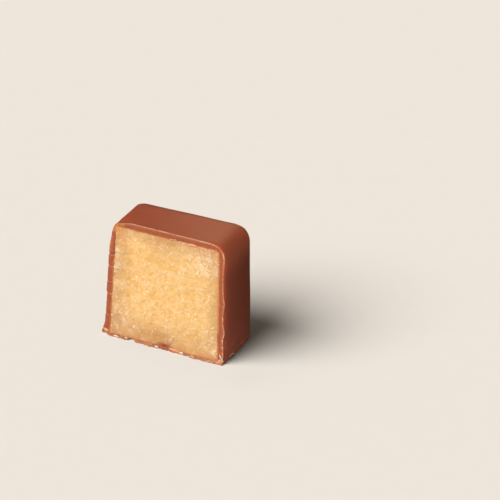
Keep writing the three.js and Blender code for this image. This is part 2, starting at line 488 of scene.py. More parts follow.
# %% A box of grid lines, open at the cut
def gridded_box(counts):
    """A box whose faces are split into so many strips each way. Its places are line numbers."""
    box = bmesh.new()
    bmesh.ops.create_cube(box, size=1, matrix=Matrix.Translation((0.5, 0.5, 0.5)))
    for axis, count in enumerate(counts):
        along = [e for e in box.edges if abs(e.verts[0].co[axis] - e.verts[1].co[axis]) > 0.5]
        bmesh.ops.subdivide_edges(box, edges=along, cuts=count - 1, use_grid_fill=True)
    bmesh.ops.scale(box, vec=counts, verts=box.verts)
    return box


shell = gridded_box(LINES)
front = [face for face in shell.faces if all(vert.co.y < 0.5 for vert in face.verts)]
bmesh.ops.delete(shell, geom=front, context="FACES")
print(f"box: {len(shell.verts)} points, opened by {len(front)} faces")

# %% [markdown]
# ## Wrapping the box onto the coat
# Each point of the box goes to its own height, then to its share of the way across and back, then out
# with the foot and the swell. At the front end of the right top edge the coat set a little thicker.
# The base is flat but for its rim, which follows the lifted corner.

# %% The poured shell
CONTACT = 0.85  # the share of the way to its rim over which the base lies on the table
TOP_WAVE = {"depth": 0.05, "length": 6.0}
FULL_CORNER = {"x": 10.5, "z": 21.35, "out": 0.5, "half_length": 3.0, "reach_back": 9.0}


def full_corner(x, y, z):
    """How far the coat stands out to the right, and as far up, where it set thicker."""
    near = bell(math.hypot(x - FULL_CORNER["x"], z - FULL_CORNER["z"]), FULL_CORNER["half_length"])
    return FULL_CORNER["out"] * near * (1 - ease(y, 0, FULL_CORNER["reach_back"])) * math.sqrt(1 / 2)


def coat_place(column, row, level):
    """Where a point of the box goes on the coat."""
    z = levels[level]
    section = section_at(z)
    across = mix(section["left"], section["right"], column / COLUMNS)
    place = Vector((across, section["back"] * rows[row] / DEPTH))
    place, way_out = round_upright_edge(place, section)
    on_side = column in (0, LINES[0]) or row == LINES[1]
    if on_side:
        if way_out is None:
            way_out = Vector((0, 1)) if row == LINES[1] else Vector((-1 if column == 0 else 1, 0))
        reach = foot_reach(place, way_out, z) + swell(place, z) - crease(place, way_out, z)
        place = place + way_out * reach
    # about 1 at the back left corner, 0 at the right side and at the cut
    near_meeting = (1 / 2 - place.x / WIDTH) * (place.y / DEPTH)
    place.x -= section["drawn"]["left"] * (1 - MEETING_SIZE["left"]) * near_meeting
    place.y += section["drawn"]["back"] * (1 - MEETING_SIZE["back"]) * near_meeting
    if level == 0 and not on_side:
        share = max(abs(2 * column / COLUMNS - 1), abs(2 * rows[row] / DEPTH - 1))
        z = lifted(place, z, ease(share, CONTACT, 1))
    else:
        z = lifted(place, z)
    if level == LINES[2]:
        z -= TOP_WAVE["depth"] * abs(noise.noise(place.to_3d() / TOP_WAVE["length"]))
    out = full_corner(place.x, place.y, z)
    return Vector((place.x + out, place.y, z + out))


for vert in shell.verts:
    vert.co = coat_place(*(round(c) for c in vert.co))
print("the shell reaches up to", round(max(vert.co.z for vert in shell.verts), 2), "mm")

# %% [markdown]
# ## Marks of the knife on the poured skin
# The blade came down through a brittle shell on a soft core. Along the top and the right side it dragged
# up a thin lip, or burr. On the left the edge cracked into short pieces, which shifted a little, the
# top sagged at its left end, and chips broke from under the base. These marks could be sculpted, but
# as functions of the place they move the shell's points in one loop. Their unevenness is noise.

# %% Noise in the cut's plane
def wave(x, z, size, layer):
    """Smooth noise, about -1 to 1, with features of a size in mm. Each use has its own layer."""
    return noise.noise(Vector((x, layer, z)) / size)


def rough_wave(x, z, size, layer, octaves, smoothness=1.0):
    """The same with finer noise added, each time half the size."""
    return noise.fractal(Vector((x, layer, z)) / size, smoothness, 2.0, octaves)


def clouded(x, z, mean, *waves):
    """A mean with waves added to it, each given by its strength, size and layer."""
    return mean + sum(strength * wave(x, z, size, layer) for strength, size, layer in waves)


def patches(x, z, size, layer, start, stop):
    """Soft patches: 0 where a wave lies below start and 1 where it lies above stop."""
    return ease(wave(x, z, size, layer), start, stop)


print("a wave 2 mm long, mm by mm:", [round(wave(x, 0, 2, 0.5), 2) for x in range(5)])

# %% Burr along the top and the right side
BURR = {"out": 0.1, "out_right": 0.05, "forward": 0.13, "width": 0.14, "curve": 1.5}
BURR_START = {"x": (-9.0, -8.2), "z": (0.7, 1.4)}
BURR_MEAN = {"top": 0.75, "right": 0.5}
BURR_WAVE = (0.5, 1.1, 0.5)  # strength, size and layer
BURR_NICKS = {"top": 0.4, "right": 0.9, "size": 0.4, "layer": 7.5}
BURR_RANGE = (0.1, 1.2)
BURR_WORN = {"by": 0.55, "x": (9.8, 10.8), "from": (12.8, 14.0), "to": (19.6, 20.8)}  # on the right side
BULGES = [(11.6, 2.0, 0.37), (6.1, 1.6, 0.4)]  # height, half length and extra reach on the right side
TURN_TO_RIGHT = (8, 11)  # where the top's edge turns down into the right side's, in X
RIGHT_SIDE = WIDTH / 2 - 1


def burr_at(x, z):
    """How much burr there is at a place of the cut's outer edge, 0 to about 1."""
    right = ease(x, *TURN_TO_RIGHT)
    present = ease(x, *BURR_START["x"]) * ease(z, *BURR_START["z"])
    nicks = (mix(BURR_NICKS["top"], BURR_NICKS["right"], right), BURR_NICKS["size"], BURR_NICKS["layer"])
    uneven = clouded(x, z, mix(BURR_MEAN["top"], BURR_MEAN["right"], right), BURR_WAVE, nicks)
    worn = ease(x, *BURR_WORN["x"]) * ease(z, *BURR_WORN["from"]) * (1 - ease(z, *BURR_WORN["to"]))
    return present * clamp(uneven, *BURR_RANGE) * (1 - BURR_WORN["by"] * worn)


def bulge_at(x, z):
    """How much further the burr stands out on the right side, where it bulges."""
    if x <= RIGHT_SIDE:
        return 0
    return sum(reach * bell(z - height, half) for height, half, reach in BULGES)


print("burr in the middle of the top:", round(burr_at(0, HEIGHT), 2))

# %% Cracked left edge and sagged shoulder
# Below each crack the lip gets a pale tone, painted as a highlight on its upturned face.
LEFT_EDGE = -8.7  # left of this X, the cut's edge is the cracked one
PIECES_OUT = [0.02, -0.04, 0.09, 0.08, 0.07, 0.0]  # of the pieces between the cracks, from the foot up
CRACK = {"half_width": 0.07, "lip": 0.12, "pale": 0.2, "notch": 0.05, "notch_length": 0.3}
CRACKED_BACK = 2.5  # how far behind the cut the pieces are shifted
SHOULDER = {"x": -8.0, "half_length": 1.7, "drop": 0.4, "rise": (18, 21)}
SIDE_IN = {"z": 19.2, "half_height": 2.2, "by": 0.16}


def crack_depth(x, z):
    """How deep a crack of the left edge goes at a place of the cut, 0 away from all of them."""
    if x > LEFT_EDGE:
        return 0
    return max(depth * bell(z - crack, 2 * CRACK["half_width"]) for crack, depth in CRACKS.items())


def crack_lip(x, z):
    """1 on the lip just below a crack, whose pale tone is a painted highlight."""
    if x >= LEFT_EDGE:
        return 0
    return max(bell(z - crack + CRACK["lip"], CRACK["half_width"]) for crack in CRACKS)


def piece_out(x, z):
    """How far a piece of the left edge stands out. It is rounded off beside the cracks."""
    if x > LEFT_EDGE:
        return 0
    notch = max(bell(z - crack, CRACK["notch_length"]) for crack in CRACKS)
    drawn_in = SIDE_IN["by"] * bell(z - SIDE_IN["z"], SIDE_IN["half_height"])
    return PIECES_OUT[sum(z > crack for crack in CRACKS)] - CRACK["notch"] * notch - drawn_in


def shoulder_drop(x, z):
    """How far the coat sagged at the left end of the top, where the cut let go of it."""
    near = bell(x - SHOULDER["x"], SHOULDER["half_length"])
    return SHOULDER["drop"] * near * ease(z, *SHOULDER["rise"])


print("cracks at heights", list(CRACKS))

# %% Rounded right edge and chipped base
SOFT_FRONT = {"in": 0.3, "length": 0.7, "x": (5, 10)}
SOFT_LOW = {"share": 0.7, "start": (2, 5), "end": (7.5, 13)}  # heights where it is less rounded
SOFT_HIGH = {"share": 0.7, "start": (18, 20.5)}
LOST_CHIPS = [  # middle, half length and height, along the base
    (-11.3, 0.6, 0.12), (-6.1, 0.8, 0.42), (-0.65, 0.3, 0.2), (1.15, 0.4, 0.15), (4.6, 0.4, 0.1),
]
BASE_GAP = {"rise": 0.025, "length": 0.8, "layer": 30.5, "reach_back": 0.8}


def drawn_from_right(x, y, z):
    """How far the right side's front edge is rounded in beside the cut."""
    before_curve = max(1 - y / SOFT_FRONT["length"], 0)
    curve = 1 - math.sqrt(1 - before_curve ** 2)
    low = SOFT_LOW["share"] * ease(z, *SOFT_LOW["start"])
    along = ease(x, *SOFT_FRONT["x"]) * mix(low, 1, ease(z, *SOFT_LOW["end"]))
    along *= mix(1, SOFT_HIGH["share"], ease(z, *SOFT_HIGH["start"]))
    return SOFT_FRONT["in"] * along * curve


def lost_chip(x):
    """How high the chips are that broke from the base's front edge."""
    return sum(height * bell(x - middle, half) for middle, half, height in LOST_CHIPS)


def off_table(x):
    """How far the base's front edge stands off the table."""
    return lost_chip(x) + BASE_GAP["rise"] * (1 + wave(x, 0, BASE_GAP["length"], BASE_GAP["layer"]))


print("the highest lost chip:", max(height for _, _, height in LOST_CHIPS), "mm")

# %% Painted glow of light through the thin right edge
# The glow is painted into the colour, where light would come through the thin edge.
PAINTED_GLOW = {"most": 0.62, "reach_back": 2.4, "x": (8.5, 10.8), "z": (1.2, 3)}
PAINTED_GLOW_FAINT = {"by": 0.45, "z": 15.5, "half_height": 4.5}
PAINTED_GLOW_CORNER = {"by": 0.7, "z": (18, 20)}  # the lit top corner shows less of it


def painted_glow_at(x, y, z):
    """How strong the painted glow of light through the thin front edge of the right side is, 0 to 1."""
    along = ease(x, *PAINTED_GLOW["x"]) * ease(z, *PAINTED_GLOW["z"])
    faint = 1 - PAINTED_GLOW_FAINT["by"] * bell(z - PAINTED_GLOW_FAINT["z"], PAINTED_GLOW_FAINT["half_height"])
    faint *= 1 - PAINTED_GLOW_CORNER["by"] * ease(z, *PAINTED_GLOW_CORNER["z"])
    return PAINTED_GLOW["most"] * along * faint * bell(y, PAINTED_GLOW["reach_back"])


print("glow half way up:", round(painted_glow_at(WIDTH / 2, 0, HEIGHT / 2), 2))

# %% Moving the skin beside the cut
across = shell.verts.layers.float.new("across")
burr = shell.verts.layers.float.new("burr")
painted_glow = shell.verts.layers.float.new("painted_glow")
shell.normal_update()
for vert in shell.verts:
    x, y, z = vert.co
    vert[painted_glow] = painted_glow_at(x, y, z)
    if y > CRACKED_BACK:
        continue
    outward = Vector((vert.normal.x, 0, vert.normal.z)).normalized()
    lip = max(1 - y / BURR["width"], 0) ** BURR["curve"]
    fading = 1 - ease(y, 0, CRACKED_BACK)
    vert[burr] = burr_at(x, z) * lip
    reach = mix(BURR["out"], BURR["out_right"], ease(x, *TURN_TO_RIGHT)) * vert[burr]
    reach += bulge_at(x, z) * lip + piece_out(x, z) * fading - drawn_from_right(x, y, z)
    vert.co += outward * reach
    vert.co.z -= shoulder_drop(x, z) * fading
    vert.co.y -= BURR["forward"] * vert[burr]
    if z < COAT["base"]:
        vert.co.z += off_table(x) * (1 - z / COAT["base"]) * (1 - ease(y, 0, BASE_GAP["reach_back"]))
print("widest burr:", round(max(vert[burr] for vert in shell.verts), 2))

# %% [markdown]
# ## The cut edge of the coat
# The open border is extruded inwards to the marzipan in several rings, which makes the flat cut, and
# then back along the marzipan, which makes the hollow that the core fills. A Solidify modifier would
# give the coat one thickness, but the real one shows a little thinner than it is, because the knife
# pulled marzipan over it. The rings lie closer together at the outer edge, where the burr is.

# %% How much of the coat shows at the cut
SHOWN = {"left": 0.93, "right": 1.0, "top": 1.02, "base": 0.14}  # thickness of the coat that shows
THIN_TOP = {"by": 0.1, "x": (-10.0, -3.0)}  # the top shows thinner towards its left end
THICK_BASE = {"by": 0.14, "x": -3.0, "half_length": 4.5, "by_right": 0.3, "right": (6.5, 11)}


def base_shown(x):
    thicker = THICK_BASE["by"] * bell(x - THICK_BASE["x"], THICK_BASE["half_length"])
    return SHOWN["base"] + thicker + THICK_BASE["by_right"] * ease(x, *THICK_BASE["right"])


def marzipan_sides(x, z):
    """Where the marzipan ends to the left and the right of a place of the cut, above and below it."""
    top_shown = SHOWN["top"] - THIN_TOP["by"] * (1 - ease(x, *THIN_TOP["x"]))
    return {
        "left": -WIDTH / 2 + LEAN["left"] * z + SHOWN["left"],
        "right": WIDTH / 2 - SHOWN["right"],
        "top": HEIGHT - top_shown,
        "base": base_shown(x),
    }


print("shown of the base, in the middle:", round(base_shown(0), 2), "mm")

# %% Border of the marzipan at the cut
BORDER_WAVE = {"depth": 0.14, "length": 2.2, "left_layer": 40.5, "right_layer": 43.5}
CORNER = {("left", "base"): 0.5, ("right", "base"): 0.3, ("left", "top"): 0.3, ("right", "top"): 0.75}


def border_wave(z, layer):
    return BORDER_WAVE["depth"] * noise.noise(Vector((0.5, layer, z / BORDER_WAVE["length"])))


def border_frame(place, inset=0.0):
    """The nearest place that is a corner's radius inside the border, that radius, and the room left."""
    radius = CORNER["left" if place.x < 0 else "right", "base" if place.z < HEIGHT / 2 else "top"]
    margin = radius + inset
    sides = marzipan_sides(place.x, place.z)
    left = sides["left"] + margin + border_wave(place.z, BORDER_WAVE["left_layer"])
    right = sides["right"] - margin - border_wave(place.z, BORDER_WAVE["right_layer"])
    low = sides["base"] + margin
    high = sides["top"] - margin
    inner = Vector((clamp(place.x, left, right), 0, clamp(place.z, low, high)))
    spare = min(place.x - left, right - place.x, place.z - low, high - place.z)
    return inner, radius, spare


def depth_inside(place):
    """How far a place in the knife's plane lies inside the marzipan's border, negative outside."""
    inner, radius, spare = border_frame(place)
    reach = (Vector((place.x, 0, place.z)) - inner).length
    return radius - reach if reach > 0 else radius + spare


def onto_border(place, inset):
    """The nearest place on the marzipan's border, drawn in by an inset."""
    inner, radius, _ = border_frame(place, inset)
    return inner + (Vector((place.x, 0, place.z)) - inner).normalized() * radius


print("middle of the cut lies inside by", round(depth_inside(Vector((0, 0, HEIGHT / 2))), 2), "mm")

# %% Rings across the cut
RINGS = [0, 0.05, 0.13, 0.24, 0.38, 0.54, 0.7, 0.86, 1]
BURR_FADE = 0.3
UNDERLAP = 0.25


def extrude_border(bm, move):
    """Extrudes the open border and moves its new points. Gives the new faces and points."""
    border = [edge for edge in bm.edges if edge.is_boundary]
    made = bmesh.ops.extrude_edge_only(bm, edges=border)["geom"]
    points = [item for item in made if isinstance(item, bmesh.types.BMVert)]
    for point in points:
        point.co = move(point.co)
    return [item for item in made if isinstance(item, bmesh.types.BMFace)], points


for edge in shell.edges:
    if edge.is_boundary:
        edge.smooth = False  # the outer edge of the cut stays sharp
cut_faces = []
for share, next_share in zip(RINGS, RINGS[1:]):
    part = (next_share - share) / (1 - share)
    faces, points = extrude_border(shell, lambda place: place.lerp(onto_border(place, UNDERLAP), part))
    cut_faces += faces
    for point in points:
        point[across] = next_share
        point[burr] = max(point[burr] * BURR_FADE, CRACK["pale"] * crack_lip(point.co.x, point.co.z))
print(f"{len(RINGS) - 1} rings with {len(cut_faces)} faces")

# %% Roughness of the cut
ROUGH = {"depth": 0.035, "size": 0.5, "layer": 2.5, "octaves": 3}
BASE_BREAKS = [(2.4, 0.3), (0.6, 0.15), (0.27, 0.14)]  # lengths and depths of the breaks along the base
BREAKS = {"layer": 4.5, "flatness": 2}
BASE_LIP = {"out": 0.44, "out_right": 0.62, "low": 0.1, "above": 0.16, "start": (-11.4, -10.5)}
BESIDE_CUT = {"reach_back": 0.3, "share": 0.8}  # the skin there follows the cut by this share
ROUNDED_LEFT = {"out": 0.16, "ends": (1, 3)}


def cut_depth(x, z):
    """How far the cut chocolate lies behind the knife's plane."""
    depth = crack_depth(x, z)
    depth += ROUGH["depth"] * rough_wave(x, z, ROUGH["size"], ROUGH["layer"], ROUGH["octaves"])
    in_base = 1 - ease(z, BASE_LIP["low"], base_shown(x) + BASE_LIP["above"])
    in_base *= ease(x, *BASE_LIP["start"])
    flat_z = BREAKS["flatness"] * z
    breaks = sum(size * wave(x, flat_z, length, BREAKS["layer"]) for length, size in BASE_BREAKS)
    lip = mix(BASE_LIP["out"], BASE_LIP["out_right"], ease(x, *THICK_BASE["right"]))
    return depth + in_base * (breaks + lost_chip(x) - lip)


def rounded_out(x, z, share):
    """How far the left strip bulges out. 4 s (1 - s) is 1 half way across it and 0 at its edges."""
    if x >= LEFT_EDGE:
        return 0
    off_ends = ease(z, *ROUNDED_LEFT["ends"]) * ease(HEIGHT - z, *ROUNDED_LEFT["ends"])
    return ROUNDED_LEFT["out"] * 4 * share * (1 - share) * off_ends


for vert in shell.verts:
    x, y, z = vert.co
    if y < BESIDE_CUT["reach_back"]:
        vert.co.y += cut_depth(x, z) * (1 if vert[across] else BESIDE_CUT["share"])
    vert.co.y -= rounded_out(x, z, vert[across])
print("furthest out of the knife's plane:", round(-min(vert.co.y for vert in shell.verts), 2), "mm")

# %% Tones of the cut
ORANGE = {"right": 0.95, "left": 0.8, "left_top": 0.25, "elsewhere": 0.8}  # of the inner edge
LEFT_TOP = (15.2, 16.6)
RIGHT_STRIP = {"x": (WIDTH / 2 - 3, RIGHT_SIDE), "z": (5, 8)}
THIN_END = {"tone": 0.68, "x": (-7.4, -5.2), "z": (19.3, 20.3)}  # the top's left end
BASE_TONE = {"most": 0.62, "dark": 0.45, "above": 0.6}
BASE_DARK = {"x": 0.5, "half_length": 1.6}
BASE_PALE = {"most": 0.42, "least": 0.06, "patches": (0.45, 21.5, 0.2, 0.55)}


def orange_share(x, z):
    if x < LEFT_EDGE:
        return mix(ORANGE["left"], ORANGE["left_top"], ease(z, *LEFT_TOP))
    in_strip = ease(x, *RIGHT_STRIP["x"]) * ease(z, *RIGHT_STRIP["z"])
    return mix(ORANGE["elsewhere"], ORANGE["right"], in_strip)


for vert in shell.verts:
    if not vert[across]:
        continue
    x, _, z = vert.co
    at_base = 1 - ease(z, base_shown(x), base_shown(x) + BASE_TONE["above"])
    dark = bell(x - BASE_DARK["x"], BASE_DARK["half_length"])
    thin_end = (1 - ease(x, *THIN_END["x"])) * ease(z, *THIN_END["z"])
    vert[across] = max(
        vert[across] * orange_share(x, z),
        THIN_END["tone"] * thin_end,
        mix(BASE_TONE["most"], BASE_TONE["dark"], dark) * at_base,
    )
    pale = max(BASE_PALE["most"] * patches(x, z, *BASE_PALE["patches"]), BASE_PALE["least"])
    vert[burr] = max(vert[burr], pale * at_base * (1 - dark))
print("most orange:", round(max(vert[across] for vert in shell.verts), 2))

# %% Hollow for the marzipan
def back_wall(place):
    """How far behind the knife's plane the hollow ends."""
    return DEPTH - LEAN["back"] * place.z - COAT["back"]


hollow_faces, _ = extrude_border(shell, lambda place: Vector((place.x, back_wall(place), place.z)))
closing = bmesh.ops.edgeloop_fill(shell, edges=[edge for edge in shell.edges if edge.is_boundary])
poked = bmesh.ops.poke(shell, faces=closing["faces"])
for face in cut_faces + hollow_faces + poked["faces"]:
    face.material_index = 1  # the second material, the cut chocolate
bmesh.ops.recalc_face_normals(shell, faces=shell.faces)
print(f"hollow: {len(hollow_faces)} faces round it and {len(poked['faces'])} behind it")

# %% [markdown]
# ## Finishing a piece
# Every mesh here is shaped in millimetres about the cut. An object could be moved and scaled into place,
# but the patterns of its materials would then move and grow with it. So the first helper carries the
# mesh itself into the frame, and its object stays at the origin. The second shades it smooth, hangs it
# on the part's one body and hides the solid that it stands for.

# %% Piece helpers, and the finished coat
def new_object(name, bm, materials):
    bmesh.ops.transform(bm, matrix=to_frame, verts=bm.verts)
    mesh = bpy.data.meshes.new(name)
    bm.to_mesh(mesh)
    bm.free()
    for material in materials:
        mesh.materials.append(material)
    made = bpy.data.objects.new(name, mesh)
    bpy.context.scene.collection.objects.link(made)
    return made


def finish_piece(name, bm, materials, stands_for=None):
    for face in bm.faces:
        face.smooth = True
    piece = new_object(name, bm, materials)
    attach(piece, "root")
    if stands_for:
        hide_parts(stands_for)
    triangles = sum(len(polygon.vertices) - 2 for polygon in piece.data.polygons)
    print(f"{name}: {len(piece.data.vertices)} points, {triangles} triangles")
    return piece


coat_piece = finish_piece(
    "chocolate_coat_poured", shell, [poured, cut], "chocolate_coat")

# %% [markdown]
# ## The marzipan core
# The paste tore into short streaks that lean one way here and the other way there, with small hollows
# between them. A bump map would look painted on from the side, so a fine grid is laid in the knife's
# plane and roughened point by point. Beside the coat the grid slopes back under the chocolate's edge,
# so the two meet in a ragged line.

# %% Torn streaks and hollows
STRAND = {"length": 0.75, "width": 0.32, "range": (0.15, 0.6)}
STRANDS = [(0.95, 5.5), (-0.6, 9.5)]  # the two ways the paste tore, as angles to X, and their layers
OTHER_WAY = (1.6, 0.5, -0.15, 0.15)  # patches: size, layer, start and stop
PIECES = (0.65, 12.5, -0.2, 0.3)
CLUSTERS = (2.2, 15.5, -0.2, 0.35)
GOLDEN = (2.6, 24.5, 0, 0.5)
GRAIN = (0.24, 0.5)  # size and layer
LUMPS = (1.2, 0.5, 4)  # size, layer and octaves
CRUMB = {"grain": 0.8, "lumps": 0.4, "range": (0.2, 0.8), "sparse": 0.55}
HOLLOW = {"grain": 0.4, "range": (0.3, 1.0), "golden": 0.35}


def strands(x, z, turn, layer):
    """Short torn strands that run roughly one way, 0 to 1."""
    along = x * math.cos(turn) + z * math.sin(turn)
    over = z * math.cos(turn) - x * math.sin(turn)
    value = noise.noise(Vector((along / STRAND["length"], layer, over / STRAND["width"])))
    return ease(value, *STRAND["range"])


def torn(x, z):
    """How much crumb and hollow there is at a place, 0 to about 1, and how the surface rolls."""
    one_way, other_way = (strands(x, z, *strand) for strand in STRANDS)
    strand = mix(one_way, other_way, patches(x, z, *OTHER_WAY)) * patches(x, z, *PIECES)
    grain = wave(x, z, *GRAIN)
    lumps = rough_wave(x, z, *LUMPS)
    grains = CRUMB["grain"] * ease(grain + CRUMB["lumps"] * lumps, *CRUMB["range"])
    crumb = min(strand + grains, 1) * mix(CRUMB["sparse"], 1, patches(x, z, *CLUSTERS))
    hollow = ease(-lumps - HOLLOW["grain"] * grain, *HOLLOW["range"])
    hollow += HOLLOW["golden"] * patches(x, z, *GOLDEN)
    return crumb, hollow, lumps


print("crumb, hollow and roll in the middle:", [round(value, 2) for value in torn(0, HEIGHT / 2)])

# %% Where the paste is darker towards its border, soaked, stained, smudged and chalky
# Sides are given with how far from them a tone reaches and how strong it is, spots with their middle,
# radius and strength.
# The first table makes the paste darker and browner towards each side of its border.
DARKER_TOWARDS_BORDER = [("left", 5.0, 0.95), ("right", 3.0, 0.68), ("top", 3.2, 0.9), ("base", 7.0, 0.84)]
SOAKED = [("left", 0.3, 0.6), ("right", 0.2, 0.7), ("top", 0.3, 0.55), ("base", 0.9, 0.86)]
BROWN_SPOTS = [
    ((0.0, 19.9), 2.2, 0.35), ((-0.6, 1.3), 1.8, 0.4), ((-5.0, 1.0), 1.5, 0.3), ((8.6, 18.6), 1.5, 0.18),
    ((-6.2, 19.7), 1.7, -0.3),
]
STAINS = [((-8.5, 20.3), 1.7, 0.36), ((9.8, 20.6), 0.8, 0.3), ((7.3, 20.1), 0.9, 0.3)]
SMUDGES = [
    ((0.2, 0.65), 0.8, 1.3), ((-2.2, 0.4), 0.6, 0.4), ((-6.3, 0.5), 0.5, 0.3), ((7.0, 21.0), 0.6, 0.2),
]
CHALKY_SPOTS = [
    ((8.5, 18.3), 1.8, 1.05), ((3.0, 20.5), 1.2, 0.25), ((-6.0, 19.8), 1.6, 0.2),
    ((-9.1, 16.3), 0.7, 0.85), ((-8.9, 13.6), 0.9, 0.95), ((-9.0, 10.0), 0.8, 0.65),
    ((-8.5, 3.5), 2.2, 0.3), ((9.4, 2.8), 1.4, 0.55), ((10.2, 1.6), 0.5, 0.8),
]


def spots(spot_list, x, z, flatness=1.0):
    """The sum of soft spots at a place."""
    return sum(
        strength * bell(math.hypot(x - middle_x, flatness * (z - middle_z)), 2 * radius)
        for (middle_x, middle_z), radius, strength in spot_list)


print(f"{len(CHALKY_SPOTS)} chalky spots and {len(SMUDGES)} smudges")

# %% Tones of the paste
SMUDGE = {"flatness": 2.3, "evenness": 0.6}
HAZE = {"most": 0.15, "patches": (1.4, 33.5, 0.1, 0.5)}
CLOUDY = (0.85, (0.5, 2.0, 27.5))  # a mean, then the strength, size and layer of each wave
PATCHY = (0.8, (0.9, 1.1, 18.5))
CHALK_DRIFT = (0.3, (0.5, 0.9, 3.5), (0.7, 0.35, 36.5))
CHALK_ON_CRUMB = 0.8


def paste_tones(x, z, crumb):
    """How dark towards its border, soaked, chalky and smudged the paste is at a place, each 0 to 1."""
    sides = marzipan_sides(x, z)
    away = {
        "left": x - sides["left"],
        "right": sides["right"] - x,
        "top": sides["top"] - z,
        "base": z - sides["base"],
    }
    cloudy = clouded(x, z, *CLOUDY)
    patchy = clamp(clouded(x, z, *PATCHY))
    undarkened = math.prod(
        1 - most * cloudy * (1 - ease(away[side], 0, reach)) for side, reach, most in DARKER_TOWARDS_BORDER)
    dry = math.prod(
        1 - most * patchy * math.exp(-max(away[side], 0) / reach) for side, reach, most in SOAKED)
    chalk = spots(CHALKY_SPOTS, x, z) * (clouded(x, z, *CHALK_DRIFT) + CHALK_ON_CRUMB * crumb)
    tones = {
        "darker_towards_border": 1 - undarkened + spots(BROWN_SPOTS, x, z),
        "soaked": 1 - dry + spots(STAINS, x, z),
        "chalky": chalk + HAZE["most"] * patches(x, z, *HAZE["patches"]),
        "smudged": spots(SMUDGES, x, z, SMUDGE["flatness"]) * mix(patchy, 1, SMUDGE["evenness"]),
    }
    return {name: clamp(amount) for name, amount in tones.items()}


print("tones in the middle:", {name: round(t, 2) for name, t in paste_tones(0, HEIGHT / 2, 0).items()})

# %% The core's cut face
CORE_STEP = 0.085
CORE_FOOT = 0.06
OVERLAP = 0.27  # how far the grid goes on under the coat's edge
PROUD = 0.03
RELIEF = {"roll": 0.05, "crumb": 0.06, "hollow": 0.03}
SLOPE = {"start": 0.25, "steepness": 0.45, "wander": 0.13, "soft": 0.2}
WANDER = (0.45, 6.5, 4, 0.7)  # size, layer, octaves and smoothness
RAGGED_TOP = {"x": (0, 3), "z": (18, 20)}  # the border wanders twice as far there
# The hollow tone paints shade into the hollows between the crumbs.
TORN_TONES = {"crumb": 0.46, "hollow": 0.5}
NEAR_BASE = {"z": (0.8, 4), "crumb": 0.55, "hollow": 0.3}  # the shares of those tones left there


def core_depth(x, z, crumb, hollow, lumps):
    """How far the marzipan's cut face lies behind the knife's plane."""
    depth = RELIEF["hollow"] * hollow - RELIEF["crumb"] * crumb - RELIEF["roll"] * lumps - PROUD
    sloping = max(SLOPE["start"] - depth_inside(Vector((x, 0, z))), 0)
    ragged = 1 + ease(x, *RAGGED_TOP["x"]) * ease(z, *RAGGED_TOP["z"])
    wander = SLOPE["wander"] * ragged * rough_wave(x, z, *WANDER)
    return depth + SLOPE["steepness"] * sloping + wander * min(sloping / SLOPE["soft"], 1)


core = bmesh.new()
core_width = WIDTH - SHOWN["left"] - SHOWN["right"] + 2 * OVERLAP
core_height = HEIGHT - SHOWN["top"] + OVERLAP - CORE_FOOT
bmesh.ops.create_grid(
    core, x_segments=round(core_width / CORE_STEP), y_segments=round(core_height / CORE_STEP), size=0.5)
layers = {name: core.verts.layers.float.new(name) for name in PASTE_TONES}
for vert in core.verts:
    z = CORE_FOOT + core_height * (vert.co.y + 0.5)
    sides = marzipan_sides(0, z)
    x = mix(sides["left"] - OVERLAP, sides["right"] + OVERLAP, vert.co.x + 0.5)
    crumb, hollow, lumps = torn(x, z)
    vert.co = Vector((x, core_depth(x, z, crumb, hollow, lumps), z))
    above_base = ease(z, *NEAR_BASE["z"])
    tones = paste_tones(x, z, crumb)
    tones["crumb"] = TORN_TONES["crumb"] * crumb * mix(NEAR_BASE["crumb"], 1, above_base)
    tones["hollow"] = TORN_TONES["hollow"] * hollow * mix(NEAR_BASE["hollow"], 1, above_base)
    for name, amount in tones.items():
        vert[layers[name]] = amount
beyond = [vert for vert in core.verts if depth_inside(vert.co) < -OVERLAP - CORE_STEP]
bmesh.ops.delete(core, geom=beyond, context="VERTS")
print(f"cut face of the marzipan: {len(core.faces)} faces")

# %% The core's body
WALL = {"inset": 0.3, "back": 0.6}
GAP = 0.1  # between the core and the coat's back wall

extrude_border(core, lambda place: onto_border(place, WALL["inset"]) + Vector((0, WALL["back"], 0)))
extrude_border(core, lambda place: Vector((place.x, back_wall(place) - GAP, place.z)))
closing = bmesh.ops.edgeloop_fill(core, edges=[edge for edge in core.edges if edge.is_boundary])
bmesh.ops.poke(core, faces=closing["faces"])
bmesh.ops.recalc_face_normals(core, faces=core.faces)
core_piece = finish_piece("marzipan_core_cut", core, [marzipan], "marzipan_filling")

# %% [markdown]
# ## Flakes at the broken edges
# Small plates of chocolate hang on where the base and the corners broke. They could be scattered by
# chance, but the larger ones are what the eye finds first, so each has its place. It starts as a flat
# ring of points, is pulled out of round, thickened and turned to lie on the edge.

# %% Shape of a flake
FLAKE = {"points": 9, "thickness": 0.14, "sunk": 0.04, "span": 0.8}
FLAKE_TOP = {"length": 0.8, "height": 0.75}  # the outer face's share of the ring
FLAKE_RIM = {"by": 0.45, "waves": 3, "layer": 0.5}
FLAKE_FACE = {"by": 0.5, "waves": 4, "layer": 3.5}

flakes = bmesh.new()
flake_layers = {name: flakes.verts.layers.float.new(name) for name in ("pale", "painted_flake_glow")}


def flake_noise(place, uneven, seed):
    """About 1, more or less by chance."""
    across, up = (c * uneven["waves"] for c in (place.x, place.y))
    return 1 + uneven["by"] * noise.noise(Vector((across, up, seed + uneven["layer"])))


